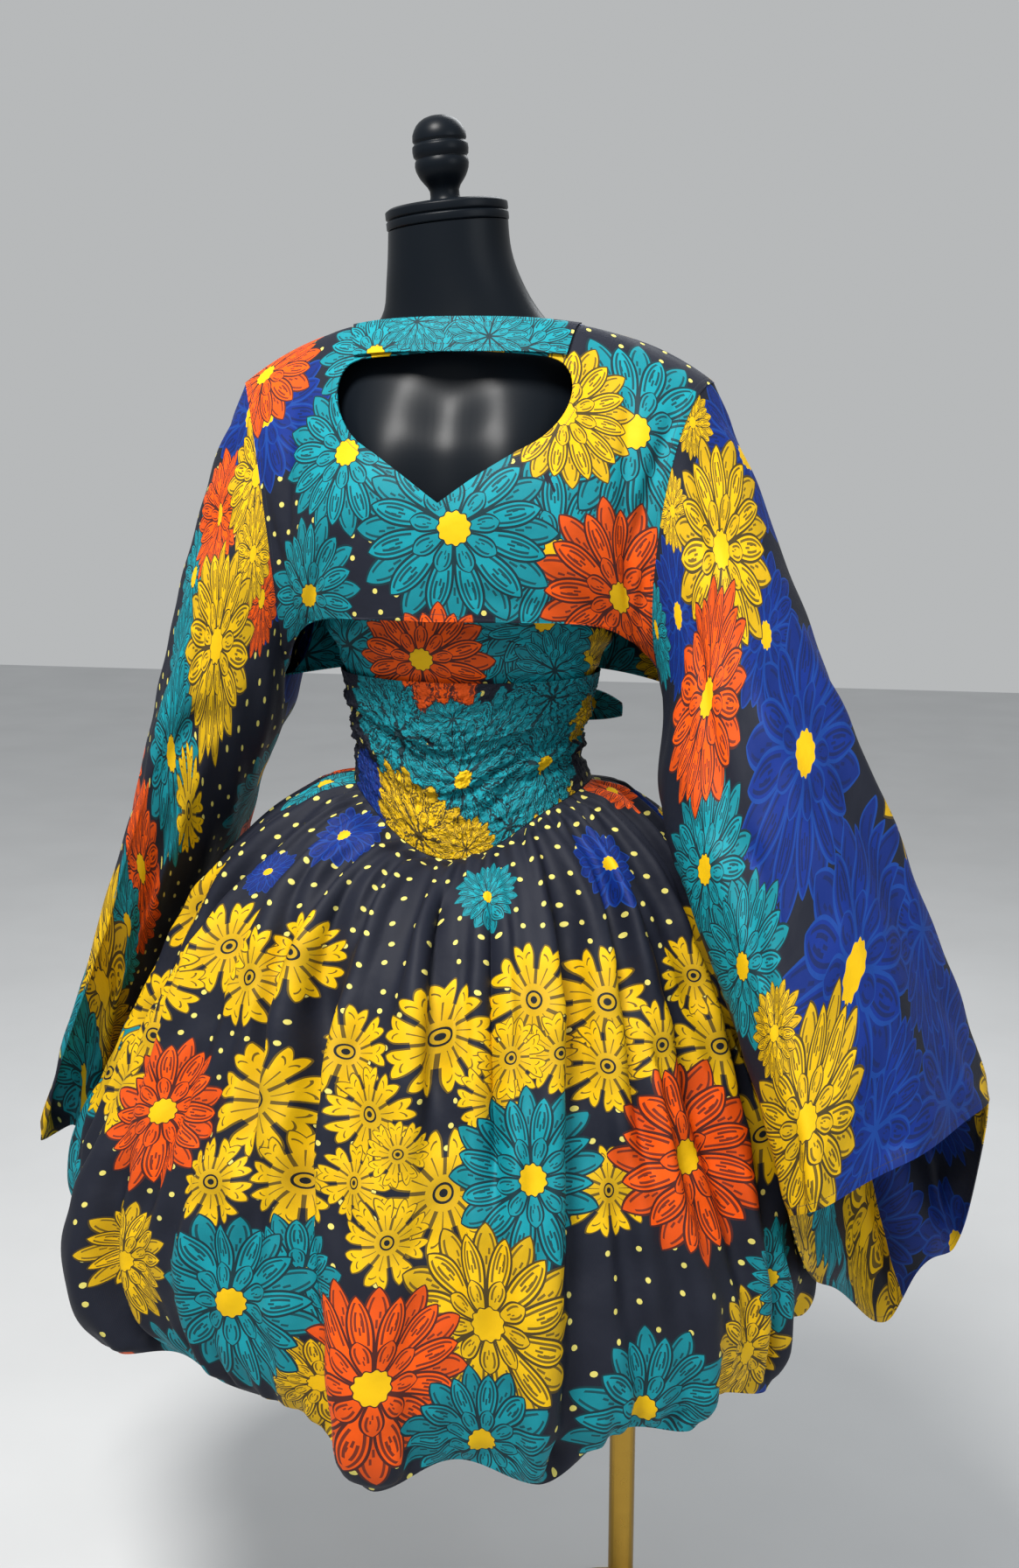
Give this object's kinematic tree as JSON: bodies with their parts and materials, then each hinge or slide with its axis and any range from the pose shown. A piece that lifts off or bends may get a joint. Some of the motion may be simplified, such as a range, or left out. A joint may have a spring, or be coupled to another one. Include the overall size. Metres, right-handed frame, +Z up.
{
  "type": "mini dress on dress form",
  "caption": "Short flower-print cotton dress with a keyhole top, wide flared sleeves, wrapped sash and gathered puff skirt, on a black limbless dress form with a brass pole.",
  "frame": {"origin": "centre of the round base's underside, on the floor", "axes": "+Z up along the pole, the front of the dress faces -Y, the wearer's left is +X"},
  "size_m": [1.0166, 0.7554, 1.6716],
  "materials": {
    "wax_print_cotton": "printed cotton, matt with a faint waxed sheen",
    "form_gloss_black": "gloss",
    "stand_brass": "polished"
  },
  "bodies": {
    "root": {"top_front": "wax_print_cotton", "top_back": "wax_print_cotton", "neck_band": "wax_print_cotton", "midriff_front": "wax_print_cotton", "midriff_back": "wax_print_cotton", "waist_sash": "wax_print_cotton", "sash_knot": "wax_print_cotton", "tie_left": "wax_print_cotton", "tie_right": "wax_print_cotton", "sleeve_left_front": "wax_print_cotton", "sleeve_left_back": "wax_print_cotton", "sleeve_right_front": "wax_print_cotton", "sleeve_right_back": "wax_print_cotton", "skirt_front": "wax_print_cotton", "skirt_back": "wax_print_cotton", "dress_form": "form_gloss_black", "neck_plate": "form_gloss_black", "neck_finial": "form_gloss_black", "stand_pole": "stand_brass", "stand_base": "stand_brass"}
  },
  "joints": []
}
